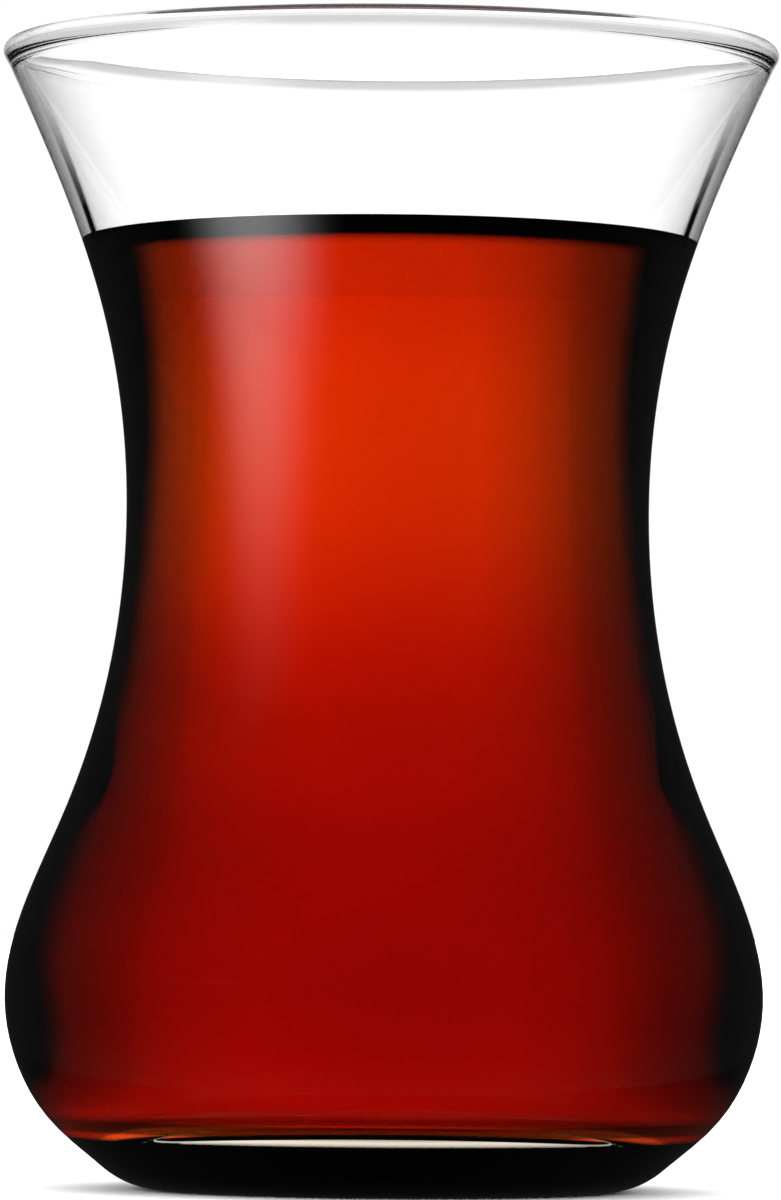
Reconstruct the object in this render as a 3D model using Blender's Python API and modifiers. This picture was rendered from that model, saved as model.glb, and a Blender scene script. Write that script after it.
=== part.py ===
# Tulip-shaped tea glass, filled with black tea.
# The glass is one turned shell: a rounded lip, a flaring throat, a narrow waist, a wide belly
# and a heavy foot. The tea is a second turned solid that fills it to below the lip.
# Lengths are in metres, +Z is up, and the origin is the middle of the foot on the table.

import math

import bpy
import numpy as np

MM = 0.001

# Driving dimensions of the glass
HEIGHT = 87.5 * MM
LIP_DIAMETER = 59.3 * MM
LIP_ROUND = 0.78 * MM
LIP_INSIDE = math.radians(225)
LIP_OUTSIDE = math.radians(-45)
BELLY_DIAMETER = 57.8 * MM
WAIST_DIAMETER = 39.96 * MM
WALL_AT_LIP = 0.82 * MM
WALL_AT_BELLY = 1.6 * MM
FLOOR_THICKNESS = 6.2 * MM
FLOOR_FLAT_RADIUS = 19.0 * MM
FLOOR_CORNER_POWER = 2.4

# The outer wall as stations of height and radius, from the top down, and how fast the radius
# grows with height at the top and the bottom one. Between them it bends evenly.
LIP_ROOT = (85.5 * MM, 29.1 * MM)
THROAT = (68.0 * MM, 22.15 * MM)
WAIST = (50.0 * MM, WAIST_DIAMETER / 2)
SHOULDER = (29.0 * MM, 24.37 * MM)
UPPER_BELLY = (21.0 * MM, 27.68 * MM)
BELLY = (15.0 * MM, BELLY_DIAMETER / 2)
LOWER_BELLY = (9.0 * MM, 27.73 * MM)
HEEL = (3.5 * MM, 23.6 * MM)
STATIONS = (LIP_ROOT, THROAT, WAIST, SHOULDER, UPPER_BELLY, BELLY, LOWER_BELLY, HEEL)
STEPS_BETWEEN_STATIONS = (5, 5, 5, 3, 2, 3, 3)
LIP_SLOPE = 0.47
HEEL_SLOPE = 1.22

# Below the heel: a short cone, the rounded foot edge and the hollow under it
FOOT_ROUND = 7.0 * MM
PUNT_RADIUS = 13.0 * MM
PUNT_DEPTH = 0.7 * MM

# The tea
TEA_LEVEL = 71.6 * MM
MENISCUS_RISE = 1.1 * MM
MENISCUS_REACH = 2.2 * MM
MENISCUS_SHARES = (1.0, 0.66, 0.4, 0.18)
TEA_GAP = 0.3 * MM

# How finely the curves are divided
TURN_STEPS = 56
LIP_STEPS = 12
CORNER_STEPS = 7
FOOT_STEPS = 3
PUNT_STEPS = 4
WELD = 0.00001


def station_slopes():
    """Slopes at the stations for which the wall's curvature doesn't jump at any of them."""
    heights, radii = np.array(STATIONS).T
    spans, rises = np.diff(heights), np.diff(radii)
    system = np.eye(len(STATIONS))
    known = np.zeros(len(STATIONS))
    known[0], known[-1] = LIP_SLOPE, HEEL_SLOPE
    for i in range(1, len(STATIONS) - 1):
        before, after = 1 / spans[i - 1], 1 / spans[i]
        system[i, i - 1 : i + 2] = before, 2 * (before + after), after
        known[i] = 3 * (rises[i - 1] * before**2 + rises[i] * after**2)
    return np.linalg.solve(system, known)


SLOPES = station_slopes().tolist()


def wall_station(height):
    """Radius and slope of the outer wall, a cubic through the two nearest stations."""
    i = 0
    while i < len(STATIONS) - 2 and height < STATIONS[i + 1][0]:
        i += 1
    upper, lower = STATIONS[i], STATIONS[i + 1]
    span = upper[0] - lower[0]
    t = (height - lower[0]) / span
    rise = upper[1] - lower[1]
    start, end = SLOPES[i + 1] * span, SLOPES[i] * span
    square, cube = 3 * rise - 2 * start - end, start + end - 2 * rise
    radius = lower[1] + start * t + square * t**2 + cube * t**3
    slope = (start + 2 * square * t + 3 * cube * t**2) / span
    return radius, slope


def wall_thickness(height):
    """The wall thickens evenly from the lip down to the belly."""
    share = (LIP_ROOT[0] - height) / (LIP_ROOT[0] - BELLY[0])
    return WALL_AT_LIP + (WALL_AT_BELLY - WALL_AT_LIP) * share


def inner_wall_radius(height, clearance=0.0):
    """Radius inside the wall, square to its slope, less a clearance."""
    radius, slope = wall_station(height)
    return radius - (wall_thickness(height) + clearance) * math.hypot(1, slope)


def wall_heights(top, bottom):
    """Heights from the given top down to the given bottom, spread over each stretch of wall."""
    heights = [top]
    for upper, lower, steps in zip(STATIONS, STATIONS[1:], STEPS_BETWEEN_STATIONS):
        for step in range(1, steps + 1):
            height = upper[0] + (lower[0] - upper[0]) * step / steps
            if bottom - WELD < height < top - WELD:
                heights.append(height)
    return heights


def arc(centre, radii, start, end, steps):
    """Points along part of an ellipse, from one angle to another."""
    points = []
    for step in range(steps + 1):
        angle = start + (end - start) * step / steps
        points.append(
            (centre[0] + radii[0] * math.cos(angle), centre[1] + radii[1] * math.sin(angle))
        )
    return points


def bowl_corner(clearance=0.0):
    """The hollow's rounded bottom, a superellipse from its flat floor up to the belly."""
    reach = inner_wall_radius(BELLY[0], clearance) - FLOOR_FLAT_RADIUS
    drop = BELLY[0] - FLOOR_THICKNESS - clearance
    points = []
    for step in range(CORNER_STEPS + 1):
        angle = math.pi / 2 * step / CORNER_STEPS
        across = reach * math.sin(angle) ** (2 / FLOOR_CORNER_POWER)
        below = drop * max(math.cos(angle), 0) ** (2 / FLOOR_CORNER_POWER)
        points.append((FLOOR_FLAT_RADIUS + across, BELLY[0] - below))
    return points


def lip():
    """The fire-rounded lip, from inside over the top to outside."""
    centre = (LIP_DIAMETER / 2 - LIP_ROUND, HEIGHT - LIP_ROUND)
    return arc(centre, (LIP_ROUND, LIP_ROUND), LIP_INSIDE, LIP_OUTSIDE, LIP_STEPS)


def foot():
    """The cone that carries the heel on down, the rounded edge and the hollow punt."""
    turn = math.atan(HEEL_SLOPE)
    cone_height = FOOT_ROUND * (1 - math.sin(turn))
    cone_radius = HEEL[1] - (HEEL[0] - cone_height) * HEEL_SLOPE
    edge_centre = (cone_radius - FOOT_ROUND * math.cos(turn), FOOT_ROUND)
    edge = arc(edge_centre, (FOOT_ROUND, FOOT_ROUND), -turn, -math.pi / 2, FOOT_STEPS)
    punt = arc((0, 0), (PUNT_RADIUS, PUNT_DEPTH), 0, math.pi / 2, PUNT_STEPS)
    return edge + punt


def glass_profile():
    """The shell's outline from the middle of its floor, over the lip and down to the punt."""
    inside_heights = wall_heights(LIP_ROOT[0], BELLY[0])[-2::-1]
    inside = [(inner_wall_radius(height), height) for height in inside_heights]
    outside_heights = wall_heights(LIP_ROOT[0], HEEL[0])
    outside = [(wall_station(height)[0], height) for height in outside_heights]
    return [(0, FLOOR_THICKNESS)] + bowl_corner() + inside + lip() + outside + foot()


def tea_profile():
    """The tea's outline from the middle of its surface, round and down to the floor."""
    edge_height = TEA_LEVEL + MENISCUS_RISE
    edge_radius = inner_wall_radius(edge_height, TEA_GAP)
    surface = [(0, TEA_LEVEL)]
    for share in MENISCUS_SHARES:
        surface.append(
            (edge_radius - MENISCUS_REACH * share, TEA_LEVEL + MENISCUS_RISE * (1 - share) ** 3)
        )
    heights = wall_heights(edge_height, BELLY[0])[:-1]
    side = [(inner_wall_radius(height, TEA_GAP), height) for height in heights]
    return surface + side + bowl_corner(TEA_GAP)[::-1] + [(0, FLOOR_THICKNESS + TEA_GAP)]


def turned(name, profile, material, collection):
    """An object turned about the Z axis from a profile of (radius, height) points."""
    mesh = bpy.data.meshes.new(name)
    corners = [(radius, 0, height) for radius, height in profile]
    mesh.from_pydata(corners, [(i, i + 1) for i in range(len(corners) - 1)], [])
    mesh.materials.append(material)
    turned_object = bpy.data.objects.new(name, mesh)
    collection.objects.link(turned_object)
    screw = turned_object.modifiers.new("turn", "SCREW")
    screw.axis = "Z"
    screw.angle = math.tau
    screw.steps = screw.render_steps = TURN_STEPS
    screw.use_merge_vertices = True
    screw.merge_threshold = WELD
    screw.use_smooth_shade = True
    return turned_object


def plain_material(name, colour, roughness, transmission, index):
    """A clear Principled material with the given tint."""
    material = bpy.data.materials.new(name)
    material.use_nodes = True
    shader = material.node_tree.nodes["Principled BSDF"]
    shader.inputs["Base Color"].default_value = (*colour, 1)
    shader.inputs["Roughness"].default_value = roughness
    shader.inputs["Metallic"].default_value = 0
    shader.inputs["Transmission Weight"].default_value = transmission
    shader.inputs["IOR"].default_value = index
    return material


def main():
    for leftover in list(bpy.data.objects):
        bpy.data.objects.remove(leftover)
    collection = bpy.data.collections.new("tea_glass")
    bpy.context.scene.collection.children.link(collection)
    clear_glass = plain_material("clear_glass", (0.97, 0.98, 0.98), 0.02, 1.0, 1.5)
    black_tea = plain_material("black_tea", (0.42, 0.03, 0.005), 0.03, 0.6, 1.33)
    turned("glass", glass_profile(), clear_glass, collection)
    turned("tea", tea_profile(), black_tea, collection)


main()
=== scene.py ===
import math

import bpy
import numpy as np
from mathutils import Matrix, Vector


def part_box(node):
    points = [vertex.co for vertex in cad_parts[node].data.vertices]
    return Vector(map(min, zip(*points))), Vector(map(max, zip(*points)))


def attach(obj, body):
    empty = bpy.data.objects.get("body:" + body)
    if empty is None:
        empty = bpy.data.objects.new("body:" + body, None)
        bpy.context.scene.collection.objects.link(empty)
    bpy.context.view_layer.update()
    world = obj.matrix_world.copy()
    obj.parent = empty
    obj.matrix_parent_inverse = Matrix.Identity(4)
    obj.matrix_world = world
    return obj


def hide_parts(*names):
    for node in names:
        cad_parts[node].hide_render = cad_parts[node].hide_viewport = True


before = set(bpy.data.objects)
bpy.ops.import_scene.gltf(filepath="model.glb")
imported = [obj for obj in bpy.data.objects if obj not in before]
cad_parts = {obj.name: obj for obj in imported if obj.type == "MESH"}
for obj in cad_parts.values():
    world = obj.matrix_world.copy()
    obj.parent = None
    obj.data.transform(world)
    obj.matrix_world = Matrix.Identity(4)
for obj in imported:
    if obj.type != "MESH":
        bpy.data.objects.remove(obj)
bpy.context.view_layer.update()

# The camera
# A long lens a little above the table, so it looks up at the lip and at the level of the tea.
# It stands in front of the glass, on the -Y side, and leans by the photograph's small roll.
MM = 0.001
CAMERA_DISTANCE = 615 * MM
CAMERA_HEIGHT = 22.1 * MM
CAMERA_ASIDE = 0.45 * MM
CAMERA_CLIP_START = 10 * MM
CAMERA_LENS = 241.7
CAMERA_PITCH = math.radians(2.133)
CAMERA_ROLL = math.radians(-0.46)

camera = bpy.data.objects.new("camera", bpy.data.cameras.new("camera"))
bpy.context.scene.collection.objects.link(camera)
camera.data.lens = CAMERA_LENS
camera.data.clip_start = CAMERA_CLIP_START
camera.rotation_euler = (math.pi / 2 + CAMERA_PITCH, CAMERA_ROLL, 0)
camera.location = (CAMERA_ASIDE, -CAMERA_DISTANCE, CAMERA_HEIGHT)
bpy.context.scene.camera = camera


# The glass
# One shell of clear soda-lime glass, blown and turned in a mould, so every level is a true
# circle. The cut lip is melted round in a flame, and the foot is thick and hollowed below.
LIP_RADIUS = 29.65 * MM
LIP_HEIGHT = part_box("glass")[1][2]
LIP_ROUND = 0.78 * MM
WALL_AT_LIP = 0.82 * MM
WALL_AT_BELLY = 1.6 * MM
FLOOR_HEIGHT = 6.2 * MM
FLOOR_FLAT_RADIUS = 19.0 * MM
FLOOR_CORNER_POWER = 2.4
FOOT_ROUND = 7.0 * MM
PUNT_RADIUS = 13.0 * MM
PUNT_DEPTH = 0.7 * MM

# The round of the lip goes from one of these angles over the top to the other, in degrees
LIP_INSIDE, LIP_OUTSIDE = 205, -32

# Stations of the outer wall from the heel up to the root of the lip, in height and radius,
# and how fast the radius grows with height at the lowest and the highest
STATION_HEIGHTS = np.array([3.5, 9.0, 15.0, 21.0, 29.0, 50.0, 68.0, 85.5]) * MM
STATION_RADII = np.array([23.6, 27.73, 28.9, 27.68, 24.37, 19.98, 22.15, 29.1]) * MM
HEEL_SLOPE, LIP_SLOPE = 1.22, 0.47
BELLY_HEIGHT = STATION_HEIGHTS[2]

# How finely each stretch of the section and the turn about the axis are divided, and the angle
# between two faces from which their edge is sharp
FLOOR_STEPS, CORNER_STEPS, INSIDE_STEPS = 6, 40, 72
BEND_STEPS, LIP_STEPS, OUTSIDE_STEPS = 8, 32, 84
FOOT_EDGE_STEPS, PUNT_STEPS = 12, 16
TURN_STEPS = 288
SHARP_FROM = math.radians(35)


def station_slopes():
    """Slopes at the stations that make the cubics between them bend evenly, with no jump of
    curvature: each inner station gives one linear equation for its slope and its neighbours'."""
    spans, rises = np.diff(STATION_HEIGHTS), np.diff(STATION_RADII)
    inner = np.arange(1, len(STATION_HEIGHTS) - 1)
    system = np.eye(len(STATION_HEIGHTS))
    system[inner, inner - 1] = 1 / spans[:-1]
    system[inner, inner] = 2 / spans[:-1] + 2 / spans[1:]
    system[inner, inner + 1] = 1 / spans[1:]
    known = np.zeros(len(STATION_HEIGHTS))
    known[0], known[-1] = HEEL_SLOPE, LIP_SLOPE
    known[inner] = 3 * (rises[:-1] / spans[:-1] ** 2 + rises[1:] / spans[1:] ** 2)
    return np.linalg.solve(system, known)


STATION_SLOPES = station_slopes()


def outer_wall(heights):
    """Radius and slope of the outer wall: between two stations, the cubic that has both of
    their radii and slopes."""
    right = np.clip(np.searchsorted(STATION_HEIGHTS, heights), 1, len(STATION_HEIGHTS) - 1)
    left = right - 1
    span = STATION_HEIGHTS[right] - STATION_HEIGHTS[left]
    t = (heights - STATION_HEIGHTS[left]) / span
    rise = STATION_RADII[right] - STATION_RADII[left]
    start, end = STATION_SLOPES[left] * span, STATION_SLOPES[right] * span
    square, cube = 3 * rise - 2 * start - end, start + end - 2 * rise
    radius = STATION_RADII[left] + start * t + square * t**2 + cube * t**3
    slope = (start + 2 * square * t + 3 * cube * t**2) / span
    return radius, slope


def inner_wall(heights, outwards=0.0):
    """Radius inside the wall: the outer radius less the wall, measured square to its slope.
    The wall thickens evenly from the lip down to the belly."""
    radius, slope = outer_wall(heights)
    share = (STATION_HEIGHTS[-1] - heights) / (STATION_HEIGHTS[-1] - BELLY_HEIGHT)
    thickness = WALL_AT_LIP + (WALL_AT_BELLY - WALL_AT_LIP) * share
    return radius - (thickness - outwards) * np.hypot(1, slope)


def arc(centre, radii, start, end, steps):
    """Points (a cos t, b sin t) of an ellipse about its centre, as t runs from start to end."""
    t = np.radians(np.linspace(start, end, steps + 1))
    return np.column_stack((centre[0] + radii[0] * np.cos(t), centre[1] + radii[1] * np.sin(t)))


def bowl(outwards=0.0):
    """The hollow's flat floor and the superellipse that carries it up to the belly:
    (across / reach)^p + (below / drop)^p = 1."""
    reach = inner_wall(np.array([BELLY_HEIGHT]), outwards)[0] - FLOOR_FLAT_RADIUS
    drop = BELLY_HEIGHT - FLOOR_HEIGHT + outwards
    flat = np.linspace(0, FLOOR_FLAT_RADIUS, FLOOR_STEPS + 1)[:-1]
    floor = np.column_stack((flat, np.full_like(flat, BELLY_HEIGHT - drop)))
    t = np.linspace(0, math.pi / 2, CORNER_STEPS + 1)
    across = reach * np.sin(t) ** (2 / FLOOR_CORNER_POWER)
    below = drop * np.cos(t) ** (2 / FLOOR_CORNER_POWER)
    corner = np.column_stack((FLOOR_FLAT_RADIUS + across, BELLY_HEIGHT - below))
    return np.vstack((floor, corner))


def foot_profile():
    """A short cone that carries the heel on down, the rounded foot edge, the flat ring that
    the glass stands on, and the shallow hollow inside it."""
    turn = math.atan(HEEL_SLOPE)
    cone_height = FOOT_ROUND * (1 - math.sin(turn))
    cone_radius = STATION_RADII[0] - (STATION_HEIGHTS[0] - cone_height) * HEEL_SLOPE
    edge_centre = (cone_radius - FOOT_ROUND * math.cos(turn), FOOT_ROUND)
    radii = (FOOT_ROUND, FOOT_ROUND)
    edge = arc(edge_centre, radii, -math.degrees(turn), -90, FOOT_EDGE_STEPS)
    punt = arc((0, 0), (PUNT_RADIUS, PUNT_DEPTH), 0, 90, PUNT_STEPS)
    return np.vstack((edge, punt))


def bend(root, slope, tip, steps):
    """Points from the root of the lip to a tip above it: the parabola r = root + slope u + a u^2
    of the height u above the root, with the a that makes it meet the tip."""
    rise = tip[1] - root[1]
    curve = (tip[0] - root[0] - slope * rise) / rise**2
    u = np.linspace(0, rise, steps + 1)
    return np.column_stack((root[0] + slope * u + curve * u**2, root[1] + u))


def glass_profile(wet_height):
    """The outline of half the section, from the middle of the floor up the inside, over the
    lip and down the outside. One point lies at the height that the tea wets."""
    heights = np.linspace(BELLY_HEIGHT, STATION_HEIGHTS[-1], INSIDE_STEPS + 1)
    heights[np.argmin(np.abs(heights - wet_height))] = wet_height
    inside = np.column_stack((inner_wall(heights), heights))
    heights = np.linspace(STATION_HEIGHTS[-1], STATION_HEIGHTS[0], OUTSIDE_STEPS + 1)
    outside = np.column_stack((outer_wall(heights)[0], heights))
    lip_centre = (LIP_RADIUS - LIP_ROUND, LIP_HEIGHT - LIP_ROUND)
    lip = arc(lip_centre, (LIP_ROUND, LIP_ROUND), LIP_INSIDE, LIP_OUTSIDE, LIP_STEPS)
    inner_bend = bend(inside[-1], LIP_SLOPE, lip[0], BEND_STEPS)[1:-1]
    outer_bend = bend(outside[0], LIP_SLOPE, lip[-1], BEND_STEPS)[-2:0:-1]
    return np.vstack((bowl()[:-1], inside, inner_bend, lip, outer_bend, outside, foot_profile()))


def turned(name, profile, material_bands):
    """A surface of two parameters, the step s along a profile and the turn t about Z:
    (r(s) cos t, r(s) sin t, z(s)), closed by one pole at each end of the profile.
    material_bands gives each material and the profile step up to which it goes."""
    turns = np.arange(TURN_STEPS) * math.tau / TURN_STEPS
    ring = profile[1:-1]
    body = np.empty((len(ring), TURN_STEPS, 3))
    body[..., 0] = np.outer(ring[:, 0], np.cos(turns))
    body[..., 1] = np.outer(ring[:, 0], np.sin(turns))
    body[..., 2] = ring[:, 1, None]
    poles = np.array([[0, 0, profile[0, 1]], [0, 0, profile[-1, 1]]])
    points = np.vstack((body.reshape(-1, 3), poles))

    index = np.arange(len(ring) * TURN_STEPS).reshape(len(ring), TURN_STEPS)
    after = np.roll(index, -1, axis=1)
    quads = np.stack((index[:-1], index[1:], after[1:], after[:-1]), axis=-1).reshape(-1, 4)
    first, last = len(points) - 2, len(points) - 1
    first_fan = np.column_stack((np.full(TURN_STEPS, first), index[0], after[0]))
    last_fan = np.column_stack((after[-1], index[-1], np.full(TURN_STEPS, last)))
    mesh = bpy.data.meshes.new(name)
    mesh.from_pydata(points, [], first_fan.tolist() + quads.tolist() + last_fan.tolist())

    steps = np.repeat(np.arange(len(ring) + 1), TURN_STEPS)
    slots = np.zeros(len(steps), dtype=np.int32)
    for slot, (material, last_step) in enumerate(material_bands):
        mesh.materials.append(material)
        slots[steps > last_step] = slot + 1
    mesh.polygons.foreach_set("material_index", slots)
    mesh.shade_smooth()
    mesh.set_sharp_from_angle(angle=SHARP_FROM)
    piece = bpy.data.objects.new(name, mesh)
    bpy.context.scene.collection.objects.link(piece)
    return piece


def linear(hex_colour):
    """An sRGB hex colour as linear red, green, blue and alpha 1."""
    values = [int(hex_colour[i : i + 2], 16) / 255 for i in (1, 3, 5)]
    return [v / 12.92 if v <= 0.04045 else ((v + 0.055) / 1.055) ** 2.4 for v in values] + [1]


def add_node(tree, kind, settings=None, values=None, links=None, stops=None):
    """Adds a node, sets its properties, its input values and a ramp's grey stops (each one its
    place from 0 to 1 and its grey), and links its inputs."""
    node = tree.nodes.new(kind)
    for key, value in (settings or {}).items():
        setattr(node, key, value)
    for key, value in (values or {}).items():
        node.inputs[key].default_value = value
    for key, socket in (links or {}).items():
        tree.links.new(socket, node.inputs[key])
    if stops:
        elements = node.color_ramp.elements
        while len(elements) < len(stops):
            elements.new(0.5)
        for element, (at, grey) in zip(elements, stops):
            element.position = at
            element.color = (grey, grey, grey, 1)
    return node


# Soda-lime glass, fire-polished: perfectly smooth, with the slow unevenness of blown glass.
# Its colour carries painted shade: its edges are painted darker as they turn away from the eye,
# and the glass is given painted dark lines, grey bands and tints. Ramps named EDGE give the
# painted grey by how far the face turns away, from 0 square on to 1 on end, and the others give it
# by height.
GLASS_IOR = 1.5
TEA_IOR = 1.33
WAVE_LENGTH = 22 * MM
WAVE_DEPTH = 0.02 * MM


def soda_lime_glass(name, index):
    """Clear glass with a given ratio of indices at its surface, and the wavy normal."""
    material = bpy.data.materials.new(name)
    material.use_nodes = True
    tree = material.node_tree
    shader = tree.nodes["Principled BSDF"]
    shader.inputs["Roughness"].default_value = 0.0
    shader.inputs["Transmission Weight"].default_value = 1.0
    shader.inputs["IOR"].default_value = index
    place = add_node(tree, "ShaderNodeTexCoord").outputs["Object"]
    waves = add_node(
        tree, "ShaderNodeTexNoise", values={"Scale": 1 / WAVE_LENGTH, "Detail": 0.0},
        links={"Vector": place},
    )
    bump = add_node(
        tree, "ShaderNodeBump", values={"Strength": 1.0, "Distance": WAVE_DEPTH},
        links={"Height": waves.outputs[0]},
    )
    tree.links.new(bump.outputs[0], shader.inputs["Normal"])
    height = add_node(tree, "ShaderNodeSeparateXYZ", links={0: place}).outputs["Z"]
    return material, tree, shader, height


# The outer face: painted shade as dark edges, and on the bead of the lip one soft painted grey
# band instead, slightly blurred because the flame has melted it. Above the tea, a fine painted
# dark line runs where the inner face is seen on end, and it fades towards the lip.
OUTER_EDGE_SHADE = [(0.45, 1.0), (0.6, 0.7), (0.7, 0.4), (0.8, 0.15), (1.0, 0.1)]
LIP_SHADE_BAND = [(0.0, 1.0), (0.3, 0.95), (0.56, 0.3), (0.66, 0.3), (0.82, 1.0)]
LIP_FROM, LIP_FULL, LIP_SHARE, LIP_ROUGHNESS = 84.6 * MM, 86.2 * MM, 0.95, 0.08
SHADE_LINE_EDGE = [(0.67, 1.0), (0.695, 0.0), (0.74, 0.0), (0.765, 1.0)]
LINE_FROM, LINE_TO = 70 * MM, 85 * MM
LINE_FADE = [
    (0.0, 1.0), (0.13, 0.0), (0.30, 0.0), (0.45, 0.03), (0.57, 0.16), (0.70, 0.42), (0.90, 1.0),
]
outside, tree, shader, height = soda_lime_glass("soda_lime_glass_outside", GLASS_IOR)
facing = add_node(tree, "ShaderNodeLayerWeight").outputs["Facing"]
edge = add_node(tree, "ShaderNodeValToRGB", links={0: facing}, stops=OUTER_EDGE_SHADE)
lip_share = add_node(
    tree, "ShaderNodeMapRange", {"interpolation_type": "SMOOTHSTEP"},
    {"From Min": LIP_FROM, "From Max": LIP_FULL, "To Max": LIP_SHARE}, {"Value": height},
)
from_inside = add_node(tree, "ShaderNodeNewGeometry").outputs["Backfacing"]
lip_in_front = add_node(
    tree, "ShaderNodeMath", {"operation": "SUBTRACT", "use_clamp": True},
    links={0: lip_share.outputs[0], 1: from_inside},
)
lip_place = add_node(
    tree, "ShaderNodeMapRange", values={"From Min": LIP_FROM, "From Max": LIP_HEIGHT},
    links={"Value": height},
)
lip_band = add_node(tree, "ShaderNodeValToRGB", links={0: lip_place.outputs[0]}, stops=LIP_SHADE_BAND)
lip_edge = add_node(
    tree, "ShaderNodeMix", {"data_type": "RGBA"},
    links={0: lip_in_front.outputs[0], 6: edge.outputs["Color"], 7: lip_band.outputs["Color"]},
)
lip_roughness = add_node(
    tree, "ShaderNodeMapRange", {"interpolation_type": "SMOOTHSTEP"},
    {"From Min": LIP_FROM, "From Max": LIP_FULL, "To Max": LIP_ROUGHNESS}, {"Value": height},
)
tree.links.new(lip_roughness.outputs[0], shader.inputs["Roughness"])
line = add_node(tree, "ShaderNodeValToRGB", links={0: facing}, stops=SHADE_LINE_EDGE)
line_place = add_node(
    tree, "ShaderNodeMapRange", values={"From Min": LINE_FROM, "From Max": LINE_TO},
    links={"Value": height},
)
line_fade = add_node(tree, "ShaderNodeValToRGB", links={0: line_place.outputs[0]}, stops=LINE_FADE)
no_line = add_node(
    tree, "ShaderNodeMath", {"operation": "ADD", "use_clamp": True},
    links={0: line_fade.outputs["Color"], 1: from_inside},
)
lined = add_node(
    tree, "ShaderNodeMix", {"data_type": "RGBA"}, {7: linear("#FFFFFF")},
    {0: no_line.outputs[0], 6: line.outputs["Color"]},
)
wall = add_node(
    tree, "ShaderNodeMix", {"data_type": "RGBA", "blend_type": "MULTIPLY"}, {"Factor": 1.0},
    {6: lip_edge.outputs[2], 7: lined.outputs[2]},
)

# Still on the outer face, painted shade: the edge of the floor under the tea is painted as a
# brown line in front, and the thick foot below it is painted black. A dull green tint takes the red
# down to that brown.
BROWN_SHADE_BY_GREEN = "#215C50"
BROWN_FROM, BROWN_TO = 4.4 * MM, 6.2 * MM
BROWN_BY_HEIGHT = [(0.0, 0.0), (0.13, 1.0), (0.55, 1.0), (1.0, 0.0)]
FOOT_SHADE_BLACK_BELOW, FOOT_CLEAR_ABOVE = 3.95 * MM, 4.35 * MM
brown_place = add_node(
    tree, "ShaderNodeMapRange", values={"From Min": BROWN_FROM, "From Max": BROWN_TO},
    links={"Value": height},
)
brown_share = add_node(
    tree, "ShaderNodeValToRGB", links={0: brown_place.outputs[0]}, stops=BROWN_BY_HEIGHT
)
brown_in_front = add_node(
    tree, "ShaderNodeMath", {"operation": "SUBTRACT", "use_clamp": True},
    links={0: brown_share.outputs["Color"], 1: from_inside},
)
brown = add_node(
    tree, "ShaderNodeMix", {"data_type": "RGBA"}, {7: linear(BROWN_SHADE_BY_GREEN)},
    {0: brown_in_front.outputs[0], 6: wall.outputs[2]},
)
foot = add_node(
    tree, "ShaderNodeMapRange", {"interpolation_type": "SMOOTHSTEP"},
    {"From Min": FOOT_SHADE_BLACK_BELOW, "From Max": FOOT_CLEAR_ABOVE}, {"Value": height},
)
tint = add_node(
    tree, "ShaderNodeMix", {"data_type": "RGBA", "blend_type": "MULTIPLY"}, {"Factor": 1.0},
    {6: brown.outputs[2], 7: foot.outputs[0]},
)
tree.links.new(tint.outputs[2], shader.inputs["Base Color"])

# The dry inner face, painted shade: a fine painted dark line where its edge is seen on end, deeper
# towards the tea, and a thin painted grey one along the top of the lip at the back, seen across the
# mouth
INNER_EDGE_SHADE = [(0.45, 1.0), (0.78, 0.7), (0.86, 0.03), (1.0, 0.0)]
LINE_FADES_BELOW, LINE_FADES_ABOVE = 72 * MM, 81 * MM
RIM_SHADE_GREY, RIM_FROM, RIM_FULL = "#A4A4A4", 86.3 * MM, 86.9 * MM
inside, tree, shader, height = soda_lime_glass("soda_lime_glass_inside", GLASS_IOR)
facing = add_node(tree, "ShaderNodeLayerWeight").outputs["Facing"]
edge = add_node(tree, "ShaderNodeValToRGB", links={0: facing}, stops=INNER_EDGE_SHADE)
fade = add_node(
    tree, "ShaderNodeMapRange",
    values={"From Min": LINE_FADES_BELOW, "From Max": LINE_FADES_ABOVE}, links={"Value": height},
)
lined = add_node(
    tree, "ShaderNodeMix", {"data_type": "RGBA"}, {7: linear("#FFFFFF")},
    {0: fade.outputs[0], 6: edge.outputs["Color"]},
)
rim_share = add_node(
    tree, "ShaderNodeMapRange", {"interpolation_type": "SMOOTHSTEP"},
    {"From Min": RIM_FROM, "From Max": RIM_FULL}, {"Value": height},
)
from_glass = add_node(tree, "ShaderNodeNewGeometry").outputs["Backfacing"]
rim_in_front = add_node(
    tree, "ShaderNodeMath", {"operation": "SUBTRACT", "use_clamp": True},
    links={0: rim_share.outputs[0], 1: from_glass},
)
tint = add_node(
    tree, "ShaderNodeMix", {"data_type": "RGBA"}, {7: linear(RIM_SHADE_GREY)},
    {0: rim_in_front.outputs[0], 6: lined.outputs[2]},
)
tree.links.new(tint.outputs[2], shader.inputs["Base Color"])

# The face that the tea wets: glass against tea hardly reflects, and it carries painted shade: the
# painted dark edge of the tea, the painted dark band under its surface and a painted deeper,
# darker red low down. They are read where light comes in from the glass, so each counts once.
WET_EDGE_SHADE = [
    (0.03, 1.0), (0.041, 0.865), (0.065, 0.64), (0.095, 0.384), (0.132, 0.137), (0.153, 0.078),
    (0.177, 0.044), (0.197, 0.027), (0.208, 0.0156), (0.219, 0.0042), (0.230, 0.0006), (0.242, 0.0),
]
BAND_CLEAR_BELOW, BAND_BLACK_ABOVE = 70.5 * MM, 71.4 * MM
DEEP_RED_SHADE, DEEP_BELOW, PLAIN_ABOVE = "#FF554B", 38 * MM, 64 * MM
wetted, tree, shader, height = soda_lime_glass("soda_lime_glass_wetted", GLASS_IOR / TEA_IOR)
shader.inputs["Specular Tint"].default_value = linear("#000000")
facing = add_node(tree, "ShaderNodeLayerWeight").outputs["Facing"]
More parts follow.
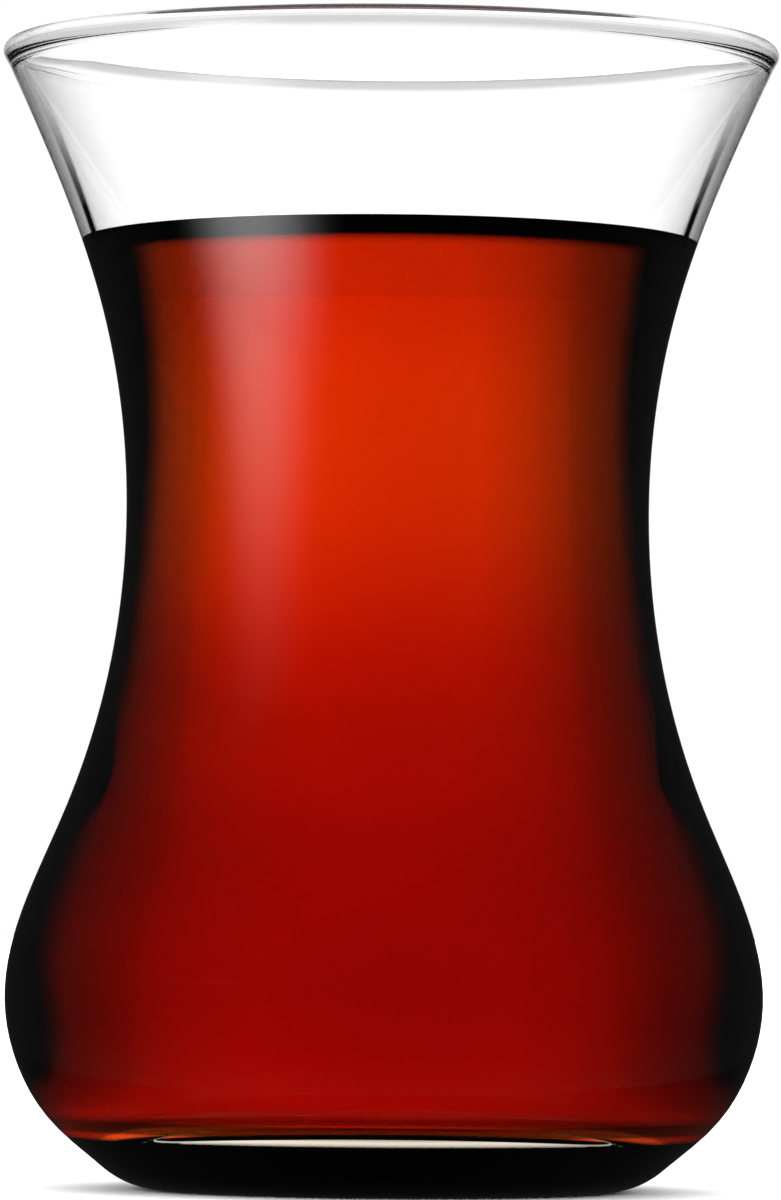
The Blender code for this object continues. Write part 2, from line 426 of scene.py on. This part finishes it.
scale = add_node(tree, "ShaderNodeAttribute", {"attribute_name": "edge_scale"}).outputs["Fac"]
shift = add_node(tree, "ShaderNodeAttribute", {"attribute_name": "edge_shift"}).outputs["Fac"]
level = add_node(
    tree, "ShaderNodeMath", {"operation": "MULTIPLY_ADD"}, links={0: facing, 1: scale, 2: shift}
)
edge = add_node(tree, "ShaderNodeValToRGB", links={0: level.outputs[0]}, stops=WET_EDGE_SHADE)
band = add_node(
    tree, "ShaderNodeMapRange", {"interpolation_type": "SMOOTHSTEP"},
    {"From Min": BAND_BLACK_ABOVE, "From Max": BAND_CLEAR_BELOW}, {"Value": height},
)
dark = add_node(
    tree, "ShaderNodeMix", {"data_type": "RGBA", "blend_type": "MULTIPLY"}, {"Factor": 1.0},
    {6: edge.outputs["Color"], 7: band.outputs[0]},
)
depth = add_node(
    tree, "ShaderNodeMapRange", {"interpolation_type": "SMOOTHSTEP"},
    {"From Min": DEEP_BELOW, "From Max": PLAIN_ABOVE}, {"Value": height},
)
deep = add_node(
    tree, "ShaderNodeMix", {"data_type": "RGBA"},
    {6: linear(DEEP_RED_SHADE), 7: linear("#FFFFFF")}, {0: depth.outputs[0]},
)
deepened = add_node(
    tree, "ShaderNodeMix", {"data_type": "RGBA", "blend_type": "MULTIPLY"}, {"Factor": 1.0},
    {6: dark.outputs[2], 7: deep.outputs[2]},
)
from_glass = add_node(tree, "ShaderNodeNewGeometry").outputs["Backfacing"]
tint = add_node(
    tree, "ShaderNodeMix", {"data_type": "RGBA"}, {6: linear("#FFFFFF")},
    {0: from_glass, 7: deepened.outputs[2]},
)
tree.links.new(tint.outputs[2], shader.inputs["Base Color"])

# The tea wets the inside up to its edge, and the dry face goes on to the top of the lip
TEA_EDGE_HEIGHT = 72.7 * MM
SAME_HEIGHT = 0.001 * MM
profile = glass_profile(TEA_EDGE_HEIGHT)
wet_steps = int(np.argmax(profile[:, 1] >= TEA_EDGE_HEIGHT - SAME_HEIGHT))
dry_steps = int(np.argmax(profile[:, 1]))
glass = turned(
    "tea_glass", profile, [(wetted, wet_steps - 1), (inside, dry_steps - 1), (outside, len(profile))]
)

# How strongly the painted dark edge of the tea (painted shade) darkens by height, and how much
# of the wall's lean is taken out in the bowl, where it turns under: level = scale * facing + shift,
# with scale = strength / sqrt(1 - bowl_share * lean^2) and shift = strength - scale
EDGE_HEIGHTS = np.array([5, 12, 19, 30, 45, 53, 61, 70]) * MM
EDGE_STRENGTHS = np.array([1.2, 1.1, 0.97, 0.90, 0.89, 0.96, 1.08, 1.22])
BOWL_HEIGHTS = np.array([6.5, 10.0]) * MM
BOWL_SHARES = np.array([0.74, 0.62])
along = np.gradient(profile, axis=0)
lean = along[:, 0] / np.hypot(along[:, 0], along[:, 1])
strength = np.interp(profile[:, 1], EDGE_HEIGHTS, EDGE_STRENGTHS)
in_bowl = profile[:, 1] < BELLY_HEIGHT
bowl_share = np.where(in_bowl, np.interp(profile[:, 1], BOWL_HEIGHTS, BOWL_SHARES), 0)
edge_scale = strength / np.sqrt(1 - bowl_share * lean**2)
for name, values in (("edge_scale", edge_scale), ("edge_shift", strength - edge_scale)):
    ring_values = np.repeat(values[1:-1], TURN_STEPS)
    attribute = glass.data.attributes.new(name, "FLOAT", "POINT")
    attribute.data.foreach_set("value", np.append(ring_values, (values[0], values[-1])))
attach(glass, "root")
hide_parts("glass")


# The tea
# Black tea, poured up to a finger below the lip: one still body of liquid that wets the glass.
# It reaches just into the wall, so no air shows between them, and its edge creeps up the wall.
TEA_LEVEL = 71.6 * MM
MENISCUS_REACH = 2.2 * MM
INTO_WALL = 0.1 * MM
SURFACE_STEPS, MENISCUS_STEPS, SIDE_STEPS = 8, 19, 60


def tea_profile():
    """Half the section, from the middle of the surface out, down the wall and in along the
    floor, and the number of its points on the surface. The meniscus rises by (1 - s)^3 as the
    share s of its reach falls to none."""
    edge_height = np.array([TEA_EDGE_HEIGHT])
    edge_radius = inner_wall(edge_height, INTO_WALL)[0]
    share = np.linspace(1, 0, MENISCUS_STEPS + 1)
    rise = (TEA_EDGE_HEIGHT - TEA_LEVEL) * (1 - share) ** 3
    meniscus = np.column_stack((edge_radius - MENISCUS_REACH * share, TEA_LEVEL + rise))
    flat = np.linspace(0, meniscus[0, 0], SURFACE_STEPS + 1)[:-1]
    surface = np.column_stack((flat, np.full_like(flat, TEA_LEVEL)))
    heights = np.linspace(TEA_EDGE_HEIGHT, BELLY_HEIGHT, SIDE_STEPS + 1)[1:-1]
    side = np.column_stack((inner_wall(heights, INTO_WALL), heights))
    outline = np.vstack((surface, meniscus, side, bowl(INTO_WALL)[::-1]))
    return outline, len(surface) + len(meniscus)


# Brewed tea, filtered and clear: it takes little red, more green and nearly all blue from the
# light in each metre that the light crosses. Its wetted side has no face of its own.
RED_TAKEN, GREEN_TAKEN, BLUE_TAKEN = 23.0, 108.0, 240.0
TAKEN_AT_MOST = 300.0


def black_tea(name, index):
    """The clear surface of the liquid, with the colour in its volume."""
    material = bpy.data.materials.new(name)
    material.use_nodes = True
    tree = material.node_tree
    shader = tree.nodes["Principled BSDF"]
    shader.inputs["Base Color"].default_value = linear("#FFFFFF")
    shader.inputs["Roughness"].default_value = 0.0
    shader.inputs["Transmission Weight"].default_value = 1.0
    shader.inputs["IOR"].default_value = index
    colour = [1 - taken / TAKEN_AT_MOST for taken in (RED_TAKEN, GREEN_TAKEN, BLUE_TAKEN)] + [1]
    volume = add_node(
        tree, "ShaderNodeVolumeAbsorption", values={"Color": colour, "Density": TAKEN_AT_MOST}
    )
    tree.links.new(volume.outputs[0], tree.nodes["Material Output"].inputs["Volume"])
    return material


profile, surface_points = tea_profile()
tea = turned(
    "black_tea", profile,
    [(black_tea("black_tea", TEA_IOR), surface_points - 2),
     (black_tea("black_tea_on_glass", 1.0), len(profile))],
)
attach(tea, "root")
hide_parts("tea")


# The floor
# A sweep of matt white paper that the glass stands on, which takes its faint shadow. The glass
# and the tea don't see it: what they show comes from the light tent instead.
FLOOR_SIZE = 8.0
PAPER_WHITE = "#F2F2F2"
bpy.ops.mesh.primitive_plane_add(size=FLOOR_SIZE)
floor = bpy.context.object
floor.name = "floor"
floor.visible_glossy = False
floor.visible_transmission = False
paper = bpy.data.materials.new("white_paper")
paper.use_nodes = True
shader = paper.node_tree.nodes["Principled BSDF"]
shader.inputs["Base Color"].default_value = linear(PAPER_WHITE)
shader.inputs["Roughness"].default_value = 1.0
shader.inputs["Specular IOR Level"].default_value = 0.0
floor.data.materials.append(paper)


# The light tent
# A round tent of lit paper close about the glass, which only the glass and the tea see. It is
# open at the top and has a bottom just under the floor.
TENT_RADIUS, TENT_TOP, TENT_BOTTOM = 120 * MM, 250 * MM, -0.2 * MM
TENT_STEPS = 96

# How bright it is to light that has crossed the tea: by height up to RAMP_HEIGHT, times a
# brightness from one side to the other, whose share falls to SIDE_LEAST near the table
TENT_BRIGHTEST, SIDE_BRIGHTEST = 2.6, 1.3
RAMP_HEIGHT = 100 * MM
TENT_BY_HEIGHT = [(0.0, 0.43), (0.12, 0.40), (0.28, 0.45), (0.54, 0.60), (0.85, 0.70)]
TENT_ACROSS = [(0.31, 0.54), (0.40, 0.61), (0.60, 0.93), (0.69, 1.0), (0.75, 0.9), (0.88, 0.3)]
SIDE_FADES_BELOW, SIDE_FADES_ABOVE, SIDE_LEAST = 12 * MM, 42 * MM, 0.5

# How bright it is to light that has crossed glass alone, so no more faces than this, and in
# reflections: dim, but with a glow above the glass for light that meets it nearly square on
THROUGH_GLASS_ALONE = 1.2
GLASS_ALONE_CROSSINGS = 4.5
DIM_STUDIO = 0.014
LIP_GLOW, LIP_GLOW_FROM, LIP_GLOW_TO = 0.6, 85 * MM, 92 * MM
LEVEL_FROM, LEVEL_TO = 0.02, 0.08

turns = np.arange(TENT_STEPS) * math.tau / TENT_STEPS
ring = TENT_RADIUS * np.column_stack((np.cos(turns), np.sin(turns), np.zeros(TENT_STEPS)))
points = np.vstack((ring + (0, 0, TENT_BOTTOM), ring + (0, 0, TENT_TOP), (0, 0, TENT_BOTTOM)))
index = np.arange(TENT_STEPS)
after = np.roll(index, -1)
sides = np.column_stack((index, after, after + TENT_STEPS, index + TENT_STEPS))
bottom = np.column_stack((index, after, np.full(TENT_STEPS, len(points) - 1)))
mesh = bpy.data.meshes.new("light_tent")
mesh.from_pydata(points, [], sides.tolist() + bottom.tolist())
tent = bpy.data.objects.new("light_tent", mesh)
bpy.context.scene.collection.objects.link(tent)
tent.visible_camera = False
tent.visible_diffuse = False
tent.visible_shadow = False
tent.visible_volume_scatter = False

# Lit paper, thin and even, so that only its soft change of brightness shows through the tea
lit_paper = bpy.data.materials.new("lit_paper")
lit_paper.use_nodes = True
tree = lit_paper.node_tree
tree.nodes.clear()
place = add_node(tree, "ShaderNodeTexCoord").outputs["Object"]
axes = add_node(tree, "ShaderNodeSeparateXYZ", links={0: place}).outputs
rays = add_node(tree, "ShaderNodeLightPath").outputs
share = add_node(
    tree, "ShaderNodeMath", {"operation": "DIVIDE"}, {1: RAMP_HEIGHT}, {0: axes["Z"]}
)
by_height = add_node(tree, "ShaderNodeValToRGB", links={0: share.outputs[0]}, stops=TENT_BY_HEIGHT)
across = add_node(
    tree, "ShaderNodeMapRange", values={"From Min": -TENT_RADIUS, "From Max": TENT_RADIUS},
    links={"Value": axes["X"]},
)
beside = add_node(tree, "ShaderNodeValToRGB", links={0: across.outputs[0]}, stops=TENT_ACROSS)
beside_strength = add_node(
    tree, "ShaderNodeMath", {"operation": "MULTIPLY"}, {1: TENT_BRIGHTEST * SIDE_BRIGHTEST},
    {0: beside.outputs["Color"]},
)
side_share = add_node(
    tree, "ShaderNodeMapRange", {"interpolation_type": "SMOOTHSTEP"},
    {"From Min": SIDE_FADES_BELOW, "From Max": SIDE_FADES_ABOVE, "To Min": SIDE_LEAST},
    {"Value": axes["Z"]},
)
side = add_node(
    tree, "ShaderNodeMix", {"data_type": "FLOAT"}, {2: TENT_BRIGHTEST},
    {0: side_share.outputs[0], 3: beside_strength.outputs[0]},
)
through_tea = add_node(
    tree, "ShaderNodeMath", {"operation": "MULTIPLY"},
    links={0: by_height.outputs["Color"], 1: side.outputs[0]},
)
crossed_tea = add_node(
    tree, "ShaderNodeMath", {"operation": "GREATER_THAN"}, {1: GLASS_ALONE_CROSSINGS},
    {0: rays["Transmission Depth"]},
)
through = add_node(
    tree, "ShaderNodeMix", {"data_type": "FLOAT"}, {2: THROUGH_GLASS_ALONE},
    {0: crossed_tea.outputs[0], 3: through_tea.outputs[0]},
)
lip_glow = add_node(
    tree, "ShaderNodeMapRange", {"interpolation_type": "SMOOTHSTEP"},
    {"From Min": LIP_GLOW_FROM, "From Max": LIP_GLOW_TO, "To Min": DIM_STUDIO, "To Max": LIP_GLOW},
    {"Value": axes["Z"]},
)
facing = add_node(tree, "ShaderNodeLayerWeight").outputs["Facing"]
level_glow = add_node(
    tree, "ShaderNodeMapRange", {"interpolation_type": "SMOOTHSTEP"},
    {"From Min": LEVEL_FROM, "From Max": LEVEL_TO, "To Max": DIM_STUDIO},
    {"Value": facing, "To Min": lip_glow.outputs[0]},
)
strength = add_node(
    tree, "ShaderNodeMix", {"data_type": "FLOAT"},
    links={0: rays["Is Transmission Ray"], 2: level_glow.outputs[0], 3: through.outputs[0]},
)
glow = add_node(
    tree, "ShaderNodeEmission", values={"Color": linear("#FFFFFF")},
    links={"Strength": strength.outputs[0]},
)
add_node(tree, "ShaderNodeOutputMaterial", links={"Surface": glow.outputs[0]})
mesh.materials.append(lit_paper)


# The softbox
# A lit card at the front left, leaning over, which only reflections see: it draws the soft
# highlight down the tea. Its louvres keep its light off the belly.
CARD_WIDTH, CARD_HEIGHT = 110 * MM, 76 * MM
CARD_TURN, CARD_DISTANCE, CARD_MIDDLE = 52.0, 90 * MM, 55 * MM
CARD_TILT = 29.0
CARD_STRENGTH = 6.0
CARD_BY_HEIGHT = [
    (0.0, 0.0), (0.10, 0.9), (0.20, 1.0), (0.32, 0.45), (0.60, 0.34), (0.80, 0.34), (1.0, 0.0),
]
CARD_ACROSS = [(0.02, 1.0), (0.11, 0.85), (0.22, 0.45), (0.32, 0.16), (0.41, 0.04), (0.5, 0.0)]

# How far from square on it can be seen between its louvres, at the share LOUVRE_FROM of its
# height and at its top
LOUVRE_LOW, LOUVRE_HIGH = 0.24, 0.58
LOUVRE_FROM = 0.4

bpy.ops.mesh.primitive_plane_add(size=1)
softbox = bpy.context.object
softbox.name = "softbox"
softbox.scale = (CARD_WIDTH, CARD_HEIGHT, 1)
turn = math.radians(CARD_TURN)
softbox.location = (-CARD_DISTANCE * math.sin(turn), -CARD_DISTANCE * math.cos(turn), CARD_MIDDLE)
softbox.rotation_euler = (math.radians(90 - CARD_TILT), 0, math.pi - turn)
softbox.visible_camera = False
softbox.visible_diffuse = False
softbox.visible_transmission = False
softbox.visible_shadow = False
softbox.visible_volume_scatter = False

# White diffuser cloth, brightest low down and along its middle: its own coordinates run from
# -0.5 to 0.5 each way. It is clear besides its glow, so it hides nothing behind it.
diffuser = bpy.data.materials.new("softbox_diffuser")
diffuser.use_nodes = True
tree = diffuser.node_tree
tree.nodes.clear()
place = add_node(tree, "ShaderNodeTexCoord").outputs["Object"]
axes = add_node(tree, "ShaderNodeSeparateXYZ", links={0: place}).outputs
across = add_node(tree, "ShaderNodeMath", {"operation": "ABSOLUTE"}, links={0: axes["X"]})
by_side = add_node(tree, "ShaderNodeValToRGB", links={0: across.outputs[0]}, stops=CARD_ACROSS)
side_fade = add_node(
    tree, "ShaderNodeMath", {"operation": "MULTIPLY"}, {1: CARD_STRENGTH},
    {0: by_side.outputs["Color"]},
)
share = add_node(tree, "ShaderNodeMath", {"operation": "ADD"}, {1: 0.5}, {0: axes["Y"]})
by_height = add_node(tree, "ShaderNodeValToRGB", links={0: share.outputs[0]}, stops=CARD_BY_HEIGHT)
facing = add_node(tree, "ShaderNodeLayerWeight").outputs["Facing"]
louvre_limit = add_node(
    tree, "ShaderNodeMapRange",
    values={"From Min": LOUVRE_FROM, "To Min": LOUVRE_LOW, "To Max": LOUVRE_HIGH},
    links={"Value": share.outputs[0]},
)
louvre = add_node(
    tree, "ShaderNodeMapRange", {"interpolation_type": "SMOOTHSTEP"},
    {"From Min": 0.0, "To Min": 1.0, "To Max": 0.0},
    {"Value": facing, "From Max": louvre_limit.outputs[0]},
)
fade = add_node(
    tree, "ShaderNodeMath", {"operation": "MULTIPLY"},
    links={0: by_height.outputs["Color"], 1: louvre.outputs[0]},
)
strength = add_node(
    tree, "ShaderNodeMath", {"operation": "MULTIPLY"},
    links={0: fade.outputs[0], 1: side_fade.outputs[0]},
)
glow = add_node(
    tree, "ShaderNodeEmission", values={"Color": linear("#FFFFFF")},
    links={"Strength": strength.outputs[0]},
)
clear = add_node(tree, "ShaderNodeBsdfTransparent", values={"Color": linear("#FFFFFF")})
both = add_node(tree, "ShaderNodeAddShader", links={0: glow.outputs[0], 1: clear.outputs[0]})
add_node(tree, "ShaderNodeOutputMaterial", links={"Surface": both.outputs[0]})
softbox.data.materials.append(diffuser)


# The studio light
# Even white light from all round for the paper, a pure white behind the glass for the camera,
# and a dim studio for what the glass reflects.
PAPER_LIGHT = 2.4
BACKDROP_LIGHT = 1.0
OVERHEAD_LIGHT = 1.2

# Light runs round inside the wall of the glass, so it needs many more crossings than usual
MOST_BOUNCES = 32

world = bpy.data.worlds.new("studio")
bpy.context.scene.world = world
world.use_nodes = True
tree = world.node_tree
tree.nodes.clear()
rays = add_node(tree, "ShaderNodeLightPath").outputs
reflected = add_node(
    tree, "ShaderNodeMix", {"data_type": "FLOAT"}, {2: PAPER_LIGHT, 3: DIM_STUDIO},
    {0: rays["Is Glossy Ray"]},
)
through = add_node(
    tree, "ShaderNodeMix", {"data_type": "FLOAT"}, {3: OVERHEAD_LIGHT},
    {0: rays["Is Transmission Ray"], 2: reflected.outputs[0]},
)
strength = add_node(
    tree, "ShaderNodeMix", {"data_type": "FLOAT"}, {3: BACKDROP_LIGHT},
    {0: rays["Is Camera Ray"], 2: through.outputs[0]},
)
background = add_node(
    tree, "ShaderNodeBackground", values={"Color": linear("#FFFFFF")},
    links={"Strength": strength.outputs[0]},
)
add_node(tree, "ShaderNodeOutputWorld", links={"Surface": background.outputs[0]})

scene = bpy.context.scene
scene.view_settings.view_transform = "Standard"
scene.cycles.max_bounces = MOST_BOUNCES
scene.cycles.transmission_bounces = MOST_BOUNCES
scene.cycles.caustics_refractive = False
scene.cycles.caustics_reflective = False
